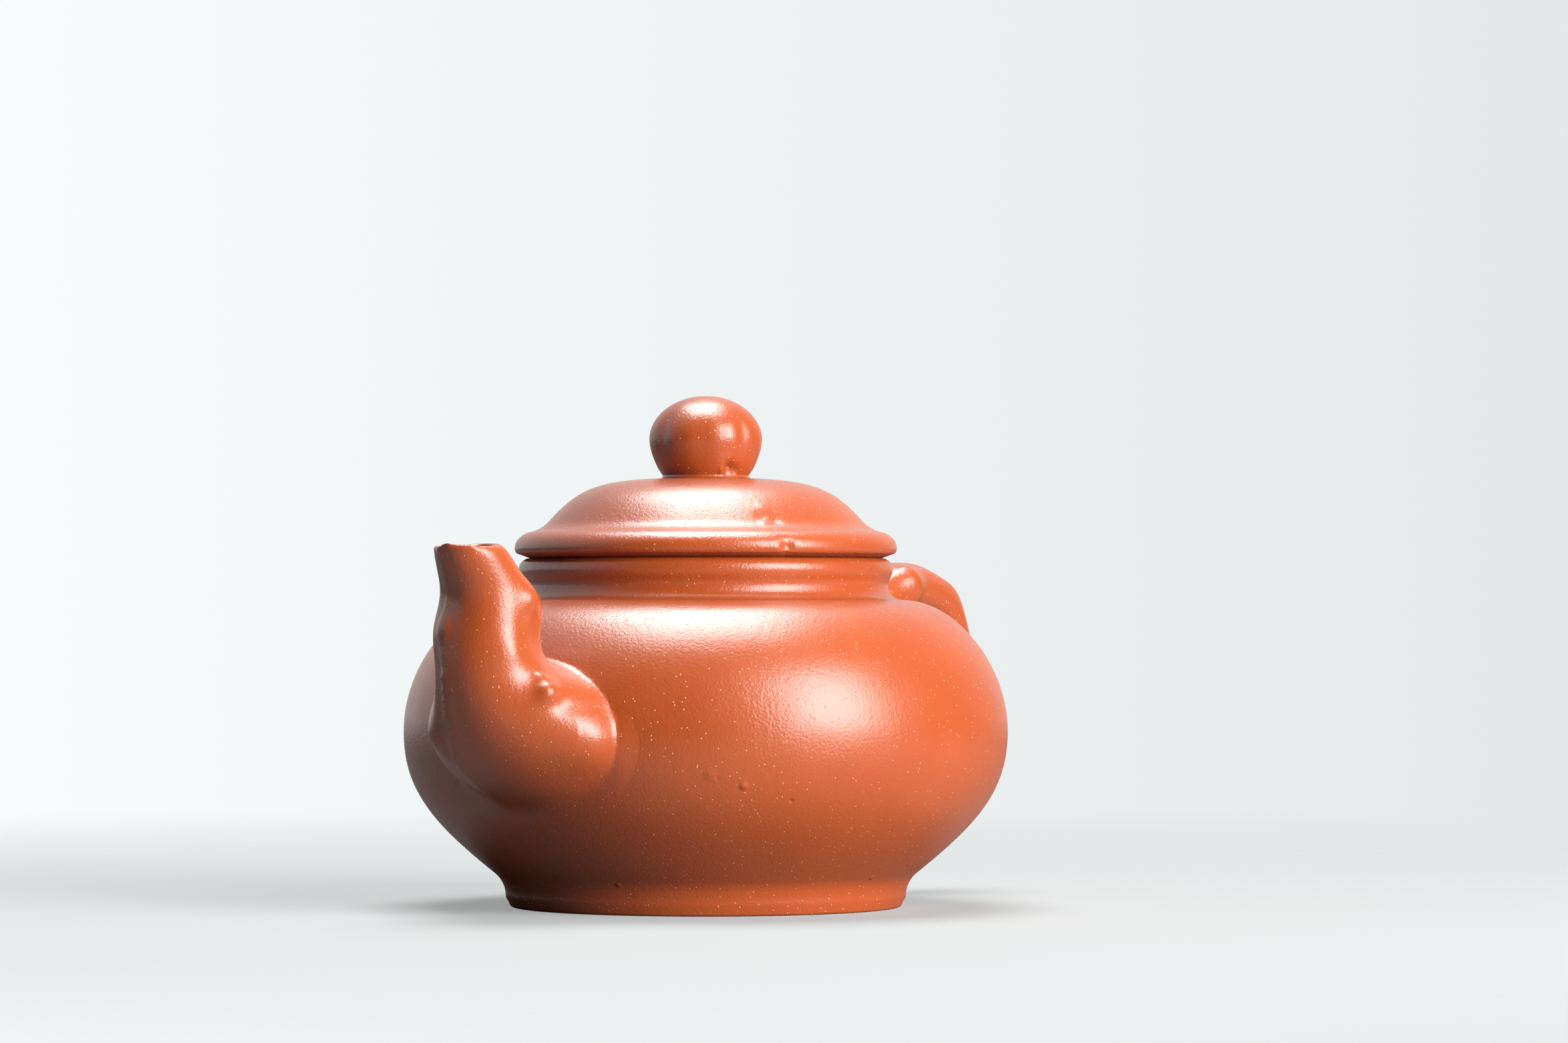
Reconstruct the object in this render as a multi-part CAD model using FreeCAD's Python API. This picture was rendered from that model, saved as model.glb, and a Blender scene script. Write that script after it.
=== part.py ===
"""Small round red-clay teapot with a gnarled spout, an ear-shaped handle and a lift-off lid.

The pot is built the way such a pot is built: a foot ring, a base disc, a beaten body wall, a
shoulder disc, a neck ring and a mouth ring are luted together, then a spout with its strainer
and a handle are added. The lid is a dome with a rim, a locating flange and a lobed knob.

Millimetres. +Z is up, the origin is the centre of the foot on the table, +X points to the
spout and -X to the handle.
"""

import FreeCAD
import Part

import math
import os

Vector = FreeCAD.Vector
UP = Vector(0, 0, 1)
ORIGIN = Vector(0, 0, 0)

# Driving dimensions of the pot
FOOT_RADIUS = 29.7
FOOT_HEIGHT = 3.7
FOOT_WALL = 6.1
FOOT_TAPER = 0.5
FOOT_EDGE_ROUND = 0.6
FOOT_FILLET = 3.0
FLARE_ANGLE = 38.0
BASE_LEDGE = 2.4
BASE_THICKNESS = 3.2
BELLY_RADIUS = 45.0
BELLY_HEIGHT = 26.1
WALL = 3.0
SHOULDER_HEIGHT = 45.5
SHOULDER_WIDTH = 9.5
NECK_RADIUS = 27.1
NECK_FILLET = 2.1
NECK_WALL = 3.8
NECK_BEAD = 0.7
NECK_WAVE = 2.45
MOUTH_BEAD_ROUND = 1.65
MOUTH_EDGE_ROUND = 0.4

# How full a curve is: a quarter round, or more for a squarer curve and less for a flatter one
QUARTER_ROUND = math.sqrt(0.5)
PLAIN_CURVE = 1.0
BELLY_FULLNESS_BELOW = 1.3
BELLY_FULLNESS_ABOVE = 0.62
CHAMBER_FULLNESS_BELOW = 0.45
CHAMBER_FULLNESS_ABOVE = 0.72
LID_DOME_FULLNESS = 2.0
KNOB_FULLNESS_BELOW = 0.8
KNOB_FULLNESS_ABOVE = 0.6

# Driving dimensions of the lid
LID_OVERHANG = 0.6
LID_RIM_HEIGHT = 4.2
LID_RIM_WIDTH = 4.0
LID_RIM_LIP = 1.5
LID_RIM_UNDERCUT = 0.6
LID_DOME_HEIGHT = 7.45
LID_DOME_ANGLE = 50.6
LID_WALL = 2.6
FLANGE_CLEARANCE = 0.3
FLANGE_WALL = 2.2
FLANGE_DEPTH = 6.5
FLANGE_EDGE_ROUND = 0.5

# Driving dimensions of the knob
KNOB_RADIUS = 8.4
KNOB_NECK_RADIUS = 5.95
KNOB_FLARE = 1.7
KNOB_NECK_HEIGHT = 1.1
KNOB_BELLY_HEIGHT = 5.8
KNOB_HEIGHT = 12.6
KNOB_TOP_RADIUS = 1.8
KNOB_LOBES = 8
KNOB_GROOVE = 0.42
KNOB_TURN = -21.0
VENT_RADIUS = 1.0

# Driving dimensions of the strainer and the way out of the pot
OUTLET_RADIUS = 5.4
OUTLET_DROP = 2.6
STRAINER_LEDGE = 0.8
STRAINER_WALL = 1.4
STRAINER_HOLE_RADIUS = 0.9
STRAINER_RINGS = ((0.0, 1), (27.0, 6), (54.0, 11))

# Driving dimensions of the spout's mouth, from the belly line
SPOUT_MOUTH_REACH = 11.4
SPOUT_MOUTH_HEIGHT = 26.8
SPOUT_MOUTH_HALF_LENGTH = 5.0
SPOUT_MOUTH_HALF_WIDTH = 4.3
SPOUT_MOUTH_DIP = 0.5
SPOUT_MOUTH_TRIM = 1.0
SPOUT_MOUTH_LEAN = 0.6
SPOUT_BORE_RADIUS = 2.9

# Spout: each row gives the front line, the back line and the half width of one station.
# Front and back are (beyond the belly, above the belly line), from the root to the mouth.
SPOUT_STATIONS = (
    ((-10.0, -11.5), (-10.0, 11.5), 16.5),
    ((1.2, -8.8), (-3.4, 10.9), 15.2),
    ((8.8, -2.8), (-2.0, 11.2), 12.3),
    ((12.4, 4.6), (-1.9, 11.9), 8.8),
    ((13.4, 11.2), (-2.0, 13.6), 7.6),
    ((13.0, 16.4), (-1.6, 17.0), 7.3),
    ((12.9, 20.2), (-0.4, 20.6), 6.6),
    ((14.2, 23.6), (2.4, 23.6), 5.7),
)
# Spout bore: centre (beyond the belly, above the belly line), lean from level, radius.
BORE_STATIONS = (
    ((4.2, 1.8), 48.0, 4.7),
    ((5.8, 8.0), 85.0, 4.1),
    ((5.8, 15.0), 87.0, 3.6),
    ((7.4, 21.6), 66.0, 3.1),
)
BORE_END_LEAN = 52.0
# Knuckles stand out of a limb: centre on the limb, height, spread.
SPOUT_KNUCKLES = (
    ((11.5, -5.0, 15.0), 0.6, 3.6),
    ((1.5, 5.5, 18.4), 0.7, 3.2),
    ((5.0, 9.3, 6.5), 1.3, 2.3),
    ((6.5, -10.0, 0.3), 0.4, 3.6),
)

# Handle: each row gives the outer line, the inner line and the half width of one station.
# Lines are (beyond the belly, above the belly line), from the shoulder round to the belly.
HANDLE_STATIONS = (
    ((-14.0, 16.6), (-8.5, 9.6), 6.4),
    ((-8.0, 21.7), (-2.7, 13.4), 6.2),
    ((-1.0, 24.5), (1.0, 16.4), 5.4),
    ((6.5, 24.9), (5.8, 17.1), 5.0),
    ((13.4, 22.8), (9.8, 16.0), 4.9),
    ((18.9, 17.8), (12.6, 13.2), 4.8),
    ((21.6, 10.9), (14.0, 8.9), 4.7),
    ((22.0, 3.9), (14.3, 4.2), 4.6),
    ((20.2, -3.3), (12.9, -0.8), 4.5),
    ((16.0, -9.5), (9.8, -4.9), 4.5),
    ((9.6, -14.3), (5.4, -7.7), 4.6),
    ((2.0, -16.9), (0.0, -8.9), 5.0),
    ((-8.5, -14.4), (-9.0, -7.0), 5.6),
)
HANDLE_KNUCKLES = (
    ((1.5, 5.4, 18.6), 1.1, 2.6),
    ((15.5, -2.5, 22.0), 0.7, 4.0),
    ((19.5, 3.0, -3.5), 0.9, 3.6),
    ((8.5, -3.0, -13.6), 0.8, 3.6),
)

# How finely the curved limbs and the knob are drawn
SECTIONS_PER_STATION = 3
POINTS_PER_SECTION = 20
POINTS_PER_LOBE = 6
KNOB_RINGS_BELOW = 5
KNOB_RINGS_ABOVE = 7

# Heights and radii that follow from the sizes above
FOOT_BORE_RADIUS = FOOT_RADIUS - FOOT_WALL
BASE_RADIUS = FOOT_BORE_RADIUS + BASE_LEDGE
FLOOR = FOOT_HEIGHT + BASE_THICKNESS
SHOULDER_SEAM_RADIUS = NECK_RADIUS + SHOULDER_WIDTH
NECK_SEAM = SHOULDER_HEIGHT + NECK_FILLET * (1 - QUARTER_ROUND)
NECK_WAIST = SHOULDER_HEIGHT + NECK_FILLET
MOUTH_SEAM = NECK_WAIST + NECK_WAVE / 2
MOUTH_BEAD = NECK_WAIST + NECK_WAVE
MOUTH_TOP = MOUTH_BEAD + MOUTH_BEAD_ROUND
MOUTH_BEAD_RADIUS = NECK_RADIUS + NECK_BEAD
MOUTH_RIM_RADIUS = MOUTH_BEAD_RADIUS - MOUTH_BEAD_ROUND
MOUTH_BORE_RADIUS = NECK_RADIUS - NECK_WALL
LID_RADIUS = MOUTH_BEAD_RADIUS + LID_OVERHANG
LID_DOME_RADIUS = LID_RADIUS - LID_RIM_WIDTH
LID_DOME_BASE = MOUTH_TOP + LID_RIM_HEIGHT
LID_TOP = LID_DOME_BASE + LID_DOME_HEIGHT
FLANGE_RADIUS = MOUTH_BORE_RADIUS - FLANGE_CLEARANCE
FLANGE_BORE_RADIUS = FLANGE_RADIUS - FLANGE_WALL
STRAINER_BORE_RADIUS = OUTLET_RADIUS + STRAINER_LEDGE
STRAINER_RADIUS = STRAINER_BORE_RADIUS + STRAINER_WALL
SPAN = 4 * BELLY_RADIUS


def at(radius, height):
    """A point of a turned outline."""
    return Vector(radius, 0, height)


def line(start, end):
    return Part.LineSegment(start, end).toShape()


def bow(start, corner, end, fullness):
    """A curve from start to end that leaves and arrives along the corner's two sides."""
    curve = Part.BezierCurve()
    curve.setPoles([start, corner, end])
    curve.setWeight(2, fullness)
    return curve


def round_off(start, corner, end):
    """A quarter round."""
    return bow(start, corner, end, QUARTER_ROUND).toShape()


def turned(edges):
    """The solid that an outline sweeps as it turns round the pot's axis."""
    face = Part.Face(Part.Wire(edges))
    return face.revolve(ORIGIN, UP, 360)


def turned_polygon(*points):
    closed = list(points) + [points[0]]
    return turned([line(a, b) for a, b in zip(closed, closed[1:])])


def cylinder(radius, bottom, top):
    return Part.makeCylinder(radius, top - bottom, Vector(0, 0, bottom))


def parameter_at_radius(curve, radius):
    """Where a curve whose radius only falls along it reaches that radius."""
    low, high = 0.0, 1.0
    for _ in range(60):
        middle = (low + high) / 2
        if curve.value(middle).x > radius:
            low = middle
        else:
            high = middle
    return middle


def foot_edges():
    """The foot's side, and the hollow curve that leads up to the belly."""
    flare = math.radians(FLARE_ANGLE)
    reach = FOOT_FILLET * math.tan((math.pi / 2 - flare) / 2)
    side_bottom = at(FOOT_RADIUS - FOOT_TAPER, FOOT_EDGE_ROUND)
    side_top = at(FOOT_RADIUS, FOOT_HEIGHT - reach)
    flare_start = at(FOOT_RADIUS + reach * math.cos(flare), FOOT_HEIGHT + reach * math.sin(flare))
    sole = at(side_bottom.x - FOOT_EDGE_ROUND, 0)
    hollow = bow(side_top, at(FOOT_RADIUS, FOOT_HEIGHT), flare_start, math.cos((math.pi / 2 - flare) / 2))
    edges = [
        line(ORIGIN, sole),
        round_off(sole, at(side_bottom.x, 0), side_bottom),
        line(side_bottom, side_top),
        hollow.toShape(),
    ]
    return edges, flare_start


def belly_above():
    belly = at(BELLY_RADIUS, BELLY_HEIGHT)
    end = at(NECK_RADIUS + NECK_FILLET, SHOULDER_HEIGHT)
    return bow(belly, at(BELLY_RADIUS, SHOULDER_HEIGHT), end, BELLY_FULLNESS_ABOVE)


def pot_form():
    """The pot's outside, filled: foot, belly, shoulder, neck and mouth bead."""
    edges, flare_start = foot_edges()
    belly = at(BELLY_RADIUS, BELLY_HEIGHT)
    rise = (BELLY_RADIUS - FOOT_RADIUS) * math.tan(math.radians(FLARE_ANGLE))
    below = bow(flare_start, at(BELLY_RADIUS, FOOT_HEIGHT + rise), belly, BELLY_FULLNESS_BELOW)
    above = belly_above()
    neck_start = above.EndPoint
    waist = at(NECK_RADIUS, NECK_WAIST)
    middle = at(NECK_RADIUS + NECK_BEAD / 2, MOUTH_SEAM)
    bead = at(MOUTH_BEAD_RADIUS, MOUTH_BEAD)
    rim = at(MOUTH_RIM_RADIUS, MOUTH_TOP)
    lower_pull = at(waist.x, (waist.z + middle.z) / 2)
    upper_pull = at(bead.x, (middle.z + bead.z) / 2)
    edges += [
        below.toShape(),
        above.toShape(),
        round_off(neck_start, at(NECK_RADIUS, SHOULDER_HEIGHT), waist),
        bow(waist, lower_pull, middle, PLAIN_CURVE).toShape(),
        bow(middle, upper_pull, bead, PLAIN_CURVE).toShape(),
        round_off(bead, at(bead.x, MOUTH_TOP), rim),
        line(rim, at(0, MOUTH_TOP)),
        line(at(0, MOUTH_TOP), ORIGIN),
    ]
    return turned(edges)


def chamber_form():
    """The space inside the pot, open through the mouth."""
    inside = BELLY_RADIUS - WALL
    ceiling = SHOULDER_HEIGHT - WALL
    widest = at(inside, BELLY_HEIGHT)
    floor_edge = at(BASE_RADIUS, FLOOR)
    ceiling_edge = at(NECK_RADIUS + NECK_FILLET - WALL, ceiling)
    below = bow(floor_edge, at(inside, FLOOR), widest, CHAMBER_FULLNESS_BELOW)
    above = bow(widest, at(inside, ceiling), ceiling_edge, CHAMBER_FULLNESS_ABOVE)
    throat = at(MOUTH_BORE_RADIUS, ceiling)
    lip = at(MOUTH_BORE_RADIUS, MOUTH_TOP - MOUTH_EDGE_ROUND)
    lip_end = at(MOUTH_BORE_RADIUS + MOUTH_EDGE_ROUND, MOUTH_TOP)
    edges = [
        line(at(0, FLOOR), floor_edge),
        below.toShape(),
        above.toShape(),
        line(ceiling_edge, throat),
        line(throat, lip),
        round_off(lip, at(lip.x, MOUTH_TOP), lip_end),
        line(lip_end, at(0, MOUTH_TOP)),
        line(at(0, MOUTH_TOP), at(0, FLOOR)),
    ]
    return turned(edges)


def shoulder_region():
    """All that lies inside the cone through the shoulder seam, square to the surface there."""
    shoulder = belly_above()
    here = parameter_at_radius(shoulder, SHOULDER_SEAM_RADIUS)
    seam = shoulder.value(here)
    along = shoulder.tangent(here)[0]
    slope = -along.x / along.z
    apex = seam.z - seam.x * slope
    low = at((BELLY_HEIGHT - apex) / slope, BELLY_HEIGHT)
    high = at((MOUTH_TOP - apex) / slope, MOUTH_TOP)
    return turned_polygon(at(0, BELLY_HEIGHT), low, high, at(0, MOUTH_TOP))


def above_belly(point):
    """A point of the spout's outline, given from the belly line."""
    return at(BELLY_RADIUS + point[0], BELLY_HEIGHT + point[1])


def rail(points):
    """A smooth line through points, with one unit of parameter for each step."""
    curve = Part.BSplineCurve()
    curve.interpolate(Points=points, Parameters=[float(i) for i in range(len(points))])
    return curve


def closed_ring(points, way):
    """A smooth closed outline through points, running in the given way at the first one."""
    ring = Part.BSplineCurve()
    ring.interpolate(Points=points + [points[0]], InitialTangent=way, FinalTangent=way)
    return Part.Wire([ring.toShape()])


def swelling(point, knuckles):
    """How far the knuckles push a point out of its limb."""
    swell = 0.0
    for (beyond, across, above), height, spread in knuckles:
        centre = above_belly((beyond, above)) + Vector(0, across, 0)
        away = point.distanceToPoint(centre) / spread
        swell += height * math.exp(-away * away)
    return swell


def limb(stations, knuckles):
    """A tapering branch between a front line and a back line, swollen at its knuckles."""
    front = rail([above_belly(row[0]) for row in stations])
    back = rail([above_belly(row[1]) for row in stations])
    width = rail([Vector(i, row[2], 0) for i, row in enumerate(stations)])
    steps = (len(stations) - 1) * SECTIONS_PER_STATION
    wires = []
    for step in range(steps + 1):
        place = step / SECTIONS_PER_STATION
        middle = (front.value(place) + back.value(place)) / 2
        depth = (front.value(place) - back.value(place)) / 2
        side = Vector(0, width.value(place).y, 0)
        points = []
        for i in range(POINTS_PER_SECTION):
            turn = 2 * math.pi * i / POINTS_PER_SECTION
            out = depth * math.cos(turn) + side * math.sin(turn)
            point = middle + out
            points.append(point + out.normalize() * swelling(point, knuckles))
        wires.append(closed_ring(points, side))
    return Part.makeLoft(wires, True, False)


def bore_form():
    """The way through the spout, from inside the pot to above the mouth."""
    root = (-2 * WALL, -OUTLET_DROP)
    wall_face = (0.0, -OUTLET_DROP)
    over = 2 * SPOUT_MOUTH_TRIM
    end = (SPOUT_MOUTH_REACH + over * SPOUT_MOUTH_LEAN, SPOUT_MOUTH_HEIGHT + over)
    rows = [(root, 0.0, OUTLET_RADIUS), (wall_face, 0.0, OUTLET_RADIUS)]
    rows += BORE_STATIONS
    rows += [(end, BORE_END_LEAN, SPOUT_BORE_RADIUS)]
    wires = []
    for centre, lean, radius in rows:
        tilt = math.radians(lean)
        facing = Vector(math.cos(tilt), 0, math.sin(tilt))
        circle = Part.Circle(above_belly(centre), facing, radius)
        wires.append(Part.Wire([circle.toShape()]))
    return Part.makeLoft(wires, True, False)


def mouth_trough():
    """What is cut off the spout to leave a mouth that dips a little between its two ends."""
    half = SPOUT_MOUTH_HALF_LENGTH
    radius = (half * half + SPOUT_MOUTH_DIP * SPOUT_MOUTH_DIP) / (2 * SPOUT_MOUTH_DIP)
    lowest = above_belly((SPOUT_MOUTH_REACH, SPOUT_MOUTH_HEIGHT - SPOUT_MOUTH_DIP))
    start = lowest + Vector(0, -BELLY_RADIUS, radius)
    return Part.makeCylinder(radius, 2 * BELLY_RADIUS, start, Vector(0, 1, 0))


def make_spout(outside):
    """A stout gnarled branch with its bore, luted to the outside of the wall."""
    middle = SPOUT_MOUTH_REACH + SPOUT_MOUTH_TRIM * SPOUT_MOUTH_LEAN
    top = SPOUT_MOUTH_HEIGHT + SPOUT_MOUTH_TRIM
    front = (middle + SPOUT_MOUTH_HALF_LENGTH, top)
    back = (middle - SPOUT_MOUTH_HALF_LENGTH, top)
    stations = SPOUT_STATIONS + ((front, back, SPOUT_MOUTH_HALF_WIDTH),)
    branch = limb(stations, SPOUT_KNUCKLES)
    return branch.cut([outside, bore_form(), mouth_trough()])


def make_handle(outside):
    """An ear-shaped branch from the shoulder round to the lower belly."""
    handle = limb(HANDLE_STATIONS, HANDLE_KNUCKLES)
    handle.rotate(ORIGIN, UP, 180)
    return handle.cut(outside)


def outlet():
    """The hole through the body wall at the spout's root."""
    start = at(0, BELLY_HEIGHT - OUTLET_DROP)
    return Part.makeCylinder(OUTLET_RADIUS, SPAN, start, Vector(1, 0, 0))


def make_strainer(chamber):
    """A pierced dome over the outlet, luted to the inside of the wall."""
    centre = at(BELLY_RADIUS - WALL - STRAINER_WALL, BELLY_HEIGHT - OUTLET_DROP)
    dome = Part.makeSphere(STRAINER_RADIUS, centre)
    holes = [Part.makeSphere(STRAINER_BORE_RADIUS, centre)]
    for tilt, count in STRAINER_RINGS:
        inward = math.cos(math.radians(tilt))
        across = math.sin(math.radians(tilt))
        for i in range(count):
            turn = 2 * math.pi * i / count
            way = Vector(-inward, across * math.cos(turn), across * math.sin(turn))
            holes.append(Part.makeCylinder(STRAINER_HOLE_RADIUS, 2 * STRAINER_RADIUS, centre, way))
    return dome.cut(holes).common(chamber)


def lid_form():
    """The lid's outside, filled: rim bead, hollow and dome, without flange and knob."""
    seat = at(MOUTH_RIM_RADIUS, MOUTH_TOP)
    lip_bottom = at(LID_RADIUS - LID_RIM_UNDERCUT, MOUTH_TOP + LID_RIM_UNDERCUT)
    lip = at(LID_RADIUS, MOUTH_TOP + LID_RIM_LIP)
    dome_foot = at(LID_DOME_RADIUS, LID_DOME_BASE)
    edges = [
        line(at(0, MOUTH_TOP), seat),
        line(seat, lip_bottom),
        round_off(lip_bottom, at(LID_RADIUS, lip_bottom.z), lip),
        bow(lip, at(LID_RADIUS, LID_DOME_BASE), dome_foot, PLAIN_CURVE).toShape(),
        dome_curve().toShape(),
        line(at(0, LID_TOP), at(0, MOUTH_TOP)),
    ]
    return turned(edges)


def dome_curve():
    slope = math.tan(math.radians(LID_DOME_ANGLE))
    foot = at(LID_DOME_RADIUS, LID_DOME_BASE)
    corner = at(LID_DOME_RADIUS - LID_DOME_HEIGHT / slope, LID_TOP)
    return bow(foot, corner, at(0, LID_TOP), LID_DOME_FULLNESS)


def lid_hollow():
    """The space under the dome."""
    slope = math.tan(math.radians(LID_DOME_ANGLE))
    ceiling = LID_TOP - LID_WALL
    spring = at(FLANGE_BORE_RADIUS, LID_DOME_BASE)
    corner = at(FLANGE_BORE_RADIUS - (ceiling - LID_DOME_BASE) / slope, ceiling)
    edges = [
        line(at(0, MOUTH_TOP), at(FLANGE_BORE_RADIUS, MOUTH_TOP)),
        line(at(FLANGE_BORE_RADIUS, MOUTH_TOP), spring),
        bow(spring, corner, at(0, ceiling), LID_DOME_FULLNESS).toShape(),
        line(at(0, ceiling), at(0, MOUTH_TOP)),
    ]
    return turned(edges)


def make_flange():
    """The ring under the lid that keeps it in the mouth."""
    bottom = MOUTH_TOP - FLANGE_DEPTH
    outer_low = at(FLANGE_RADIUS, bottom + FLANGE_EDGE_ROUND)
    outer_end = at(FLANGE_RADIUS - FLANGE_EDGE_ROUND, bottom)
    inner = at(FLANGE_BORE_RADIUS, bottom)
    edges = [
        line(at(FLANGE_BORE_RADIUS, MOUTH_TOP), at(FLANGE_RADIUS, MOUTH_TOP)),
        line(at(FLANGE_RADIUS, MOUTH_TOP), outer_low),
        round_off(outer_low, at(FLANGE_RADIUS, bottom), outer_end),
        line(outer_end, inner),
        line(inner, at(FLANGE_BORE_RADIUS, MOUTH_TOP)),
    ]
    return turned(edges)


def knob_seat_height():
    dome = dome_curve()
    return dome.value(parameter_at_radius(dome, KNOB_NECK_RADIUS + KNOB_FLARE)).z


def knob_levels(seat):
    """Points up the knob's outline: its flared neck, its belly and its crown."""
    base = at(KNOB_NECK_RADIUS + KNOB_FLARE, seat)
    neck = at(KNOB_NECK_RADIUS, seat + KNOB_NECK_HEIGHT)
    belly = at(KNOB_RADIUS, seat + KNOB_BELLY_HEIGHT)
    top = at(KNOB_TOP_RADIUS, seat + KNOB_HEIGHT)
    flare = bow(base, at(neck.x, seat + KNOB_NECK_HEIGHT / 3), neck, QUARTER_ROUND)
    below = bow(neck, at(belly.x, (neck.z + belly.z) / 2), belly, KNOB_FULLNESS_BELOW)
    above = bow(belly, at(belly.x, top.z), top, KNOB_FULLNESS_ABOVE)
    levels = [flare.value(0), flare.value(0.5)]
    levels += [below.value(i / KNOB_RINGS_BELOW) for i in range(KNOB_RINGS_BELOW)]
    levels += [above.value(i / KNOB_RINGS_ABOVE) for i in range(KNOB_RINGS_ABOVE + 1)]
    return levels


def groove_share(level, seat):
    """How deep the grooves run at one level: full at the belly, none at neck and crown."""
    if level.z < seat + KNOB_NECK_HEIGHT:
        return 0.0
    if level.z < seat + KNOB_BELLY_HEIGHT:
        return (level.x - KNOB_NECK_RADIUS) / (KNOB_RADIUS - KNOB_NECK_RADIUS)
    return math.sqrt((level.x - KNOB_TOP_RADIUS) / (KNOB_RADIUS - KNOB_TOP_RADIUS))


def make_knob():
    """A melon of soft lobes on a short neck."""
    seat = knob_seat_height()
    seam = math.radians(KNOB_TURN)
    seam_way = Vector(-math.sin(seam), math.cos(seam), 0)
    count = KNOB_LOBES * POINTS_PER_LOBE
    wires = []
    for level in knob_levels(seat):
        depth = KNOB_GROOVE * groove_share(level, seat)
        points = []
        for i in range(count):
            turn = 2 * math.pi * i / count
            groove = (0.5 + 0.5 * math.cos(KNOB_LOBES * turn)) ** 2
            radius = level.x - depth * groove
            around = turn + seam
            points.append(Vector(radius * math.cos(around), radius * math.sin(around), level.z))
        wires.append(closed_ring(points, seam_way))
    return Part.makeLoft(wires, True, False)


def make_pot():
    """The pieces that stay together as the pot."""
    outside = pot_form()
    chamber = chamber_form()
    shell = outside.cut([chamber, cylinder(FOOT_BORE_RADIUS, 0, FOOT_HEIGHT)])
    below_seam = cylinder(SPAN, 0, FOOT_HEIGHT)
    base = cylinder(BASE_RADIUS, FOOT_HEIGHT, FLOOR)
    above_neck_seam = cylinder(SPAN, NECK_SEAM, MOUTH_TOP)
    above_mouth_seam = cylinder(SPAN, MOUTH_SEAM, MOUTH_TOP)
    shoulder = shoulder_region()
    return {
        "foot_ring": shell.common(below_seam),
        "base_disc": base,
        "body_wall": shell.cut([below_seam, base, shoulder, outlet()]),
        "shoulder_disc": shell.common(shoulder).cut(above_neck_seam),
        "neck_ring": shell.common(above_neck_seam).cut(above_mouth_seam),
        "mouth_ring": shell.common(above_mouth_seam),
        "strainer": make_strainer(chamber),
        "spout": make_spout(outside),
        "handle": make_handle(outside),
    }


def make_lid():
    """The pieces that lift off together as the lid."""
    lid = lid_form().cut(lid_hollow())
    seat = knob_seat_height()
    vent = cylinder(VENT_RADIUS, MOUTH_TOP, seat + 2 * KNOB_HEIGHT)
    inside_rim = cylinder(LID_DOME_RADIUS, MOUTH_TOP, LID_TOP)
    above_seat = cylinder(SPAN, seat, LID_TOP)
    return {
        "lid_rim": lid.cut(inside_rim),
        "lid_dome": lid.common(inside_rim).cut(above_seat).cut(vent),
        "lid_flange": make_flange(),
        "knob": make_knob().cut(vent),
    }


def main():
    os.makedirs("parts", exist_ok=True)
    pieces = {**make_pot(), **make_lid()}
    for name, shape in pieces.items():
        shape.exportStep(f"parts/{name}.step")
        print(name, len(shape.Solids), round(shape.Volume, 1), shape.isValid())


if __name__ == "__main__":
    main()
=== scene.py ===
"""Dresses the packed clay teapot: burnished clay, hand-pressed walls, luted branches and a studio.

Shapes are worked on in millimetres and written out in metres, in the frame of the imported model:
+Z is up, the origin is the centre of the foot on the table, +X points to the spout.
"""

import math

import bmesh
import bpy
from mathutils import Matrix, Vector, noise
from mathutils.bvhtree import BVHTree
from mathutils.geometry import intersect_point_line
from mathutils.kdtree import KDTree


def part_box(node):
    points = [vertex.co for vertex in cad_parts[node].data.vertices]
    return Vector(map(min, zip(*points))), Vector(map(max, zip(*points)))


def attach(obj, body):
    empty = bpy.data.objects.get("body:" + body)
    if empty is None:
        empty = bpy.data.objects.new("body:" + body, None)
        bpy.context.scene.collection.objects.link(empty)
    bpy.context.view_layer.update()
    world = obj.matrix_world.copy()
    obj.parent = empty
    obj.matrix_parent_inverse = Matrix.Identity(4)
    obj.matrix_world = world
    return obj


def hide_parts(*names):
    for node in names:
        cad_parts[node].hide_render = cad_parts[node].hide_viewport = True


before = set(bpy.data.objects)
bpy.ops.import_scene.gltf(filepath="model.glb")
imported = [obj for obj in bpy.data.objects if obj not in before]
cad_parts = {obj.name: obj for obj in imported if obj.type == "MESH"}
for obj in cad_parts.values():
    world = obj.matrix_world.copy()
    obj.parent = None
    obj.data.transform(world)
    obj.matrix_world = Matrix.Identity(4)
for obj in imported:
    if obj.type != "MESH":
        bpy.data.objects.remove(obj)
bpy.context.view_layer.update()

MM = 0.001
UP = Vector((0, 0, 1))
OUTWARDS = Vector((1, 0, 0))
QUARTER_ROUND = math.sqrt(0.5)
PLAIN_CURVE = 1.0

# The pot's outline
FOOT_RADIUS = 29.7
FOOT_HEIGHT = 3.7
FOOT_WALL = 6.1
FOOT_TAPER = 0.5
FOOT_EDGE_ROUND = 0.6
FOOT_FILLET = 4.6
FLARE_ANGLE = 38.0
BASE_LEDGE = 2.4
BASE_THICKNESS = 3.2
BELLY_RADIUS = 45.0
BELLY_HEIGHT = 26.1
BELLY_FULLNESS_BELOW = 1.3
BELLY_FULLNESS_ABOVE = 0.62
CHAMBER_FULLNESS_BELOW = 0.45
CHAMBER_FULLNESS_ABOVE = 0.72
WALL = 3.0
SHOULDER_HEIGHT = 45.5
SHOULDER_WIDTH = 9.5
NECK_RADIUS = 27.1
NECK_FILLET = 2.1
NECK_WALL = 3.8
NECK_BEAD = 0.7
NECK_WAVE = 2.45
MOUTH_BEAD_ROUND = 1.65
MOUTH_EDGE_ROUND = 0.4

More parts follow.
